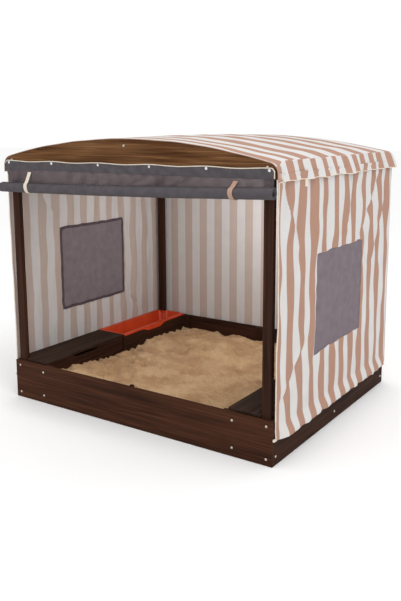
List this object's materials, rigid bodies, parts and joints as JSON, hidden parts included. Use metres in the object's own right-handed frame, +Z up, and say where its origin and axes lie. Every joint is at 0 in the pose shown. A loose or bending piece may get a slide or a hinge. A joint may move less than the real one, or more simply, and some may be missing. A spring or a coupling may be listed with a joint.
{
  "type": "sandbox with cover",
  "caption": "Square wooden sandbox with side seats that lift off, a pull-out bin, an arched cloth canopy with side and back walls, mesh windows and a roll-down mesh curtain.",
  "frame": {"origin": "on the ground under the middle of the wooden box", "axes": "+Z up, +X to the right seen from the open entrance, +Y from the entrance towards the back wall"},
  "size_m": [1.298, 1.1179, 1.1323],
  "materials": {
    "dark_wood": "satin",
    "arch_wood": "satin",
    "liner_felt": "matte",
    "sand": "matte",
    "bin_plastic": "gloss",
    "striped_cloth": "matte",
    "mesh": "matte",
    "grey_cloth": "matte",
    "webbing": "matte",
    "screw_steel": "satin",
    "dark_steel": "satin"
  },
  "bodies": {
    "frame": {"front_board": "dark_wood", "back_board": "dark_wood", "left_board": "dark_wood", "right_board": "dark_wood", "front_left_post": "dark_wood", "front_right_post": "dark_wood", "back_left_post": "dark_wood", "back_right_post": "dark_wood", "front_arch": "arch_wood", "back_arch": "arch_wood", "left_eave_rail": "dark_wood", "right_eave_rail": "dark_wood", "ridge_rail": "dark_wood", "left_inner_board": "dark_wood", "right_inner_board": "dark_wood", "left_partition": "dark_wood", "right_partition": "dark_wood", "front_cleat": "dark_wood", "back_cleat": "dark_wood", "left_cleats": "dark_wood", "right_cleats": "dark_wood", "ground_liner": "liner_felt", "sand": "sand", "canopy_roof": "striped_cloth", "left_wall": "striped_cloth", "right_wall": "striped_cloth", "back_wall": "striped_cloth", "left_window": "mesh", "right_window": "mesh", "curtain_header": "grey_cloth", "curtain_mesh": "mesh", "left_strap": "webbing", "right_strap": "webbing", "header_studs": "screw_steel", "roof_studs": "dark_steel", "wall_tabs": "striped_cloth", "corner_ties": "webbing", "front_board_screws": "screw_steel", "back_board_screws": "screw_steel", "left_board_screws": "screw_steel", "right_board_screws": "screw_steel", "front_arch_screws": "screw_steel", "back_arch_screws": "screw_steel"},
    "curtain": {"curtain_roll": "grey_cloth"},
    "left_front_seat": {"left_front_lid": "dark_wood", "left_front_lid_battens": "dark_wood"},
    "right_front_seat": {"right_front_lid": "dark_wood", "right_front_lid_battens": "dark_wood"},
    "right_rear_seat": {"right_rear_lid": "dark_wood", "right_rear_lid_battens": "dark_wood"},
    "bin": {"storage_bin": "bin_plastic"}
  },
  "joints": [
    {"name": "curtain_drop", "type": "slide", "parent": "frame", "child": "curtain", "axis": [0, 0, -1], "range_m": [0, 0.82], "deforming": ["curtain_mesh", "left_strap", "right_strap"]},
    {"name": "left_front_lid_lift", "type": "slide", "parent": "frame", "child": "left_front_seat", "axis": [0, 0, 1], "range_m": [0, 0.25]},
    {"name": "right_front_lid_lift", "type": "slide", "parent": "frame", "child": "right_front_seat", "axis": [0, 0, 1], "range_m": [0, 0.25]},
    {"name": "right_rear_lid_lift", "type": "slide", "parent": "frame", "child": "right_rear_seat", "axis": [0, 0, 1], "range_m": [0, 0.25]},
    {"name": "bin_lift", "type": "slide", "parent": "frame", "child": "bin", "axis": [0, 0, 1], "range_m": [0, 0.3]}
  ]
}
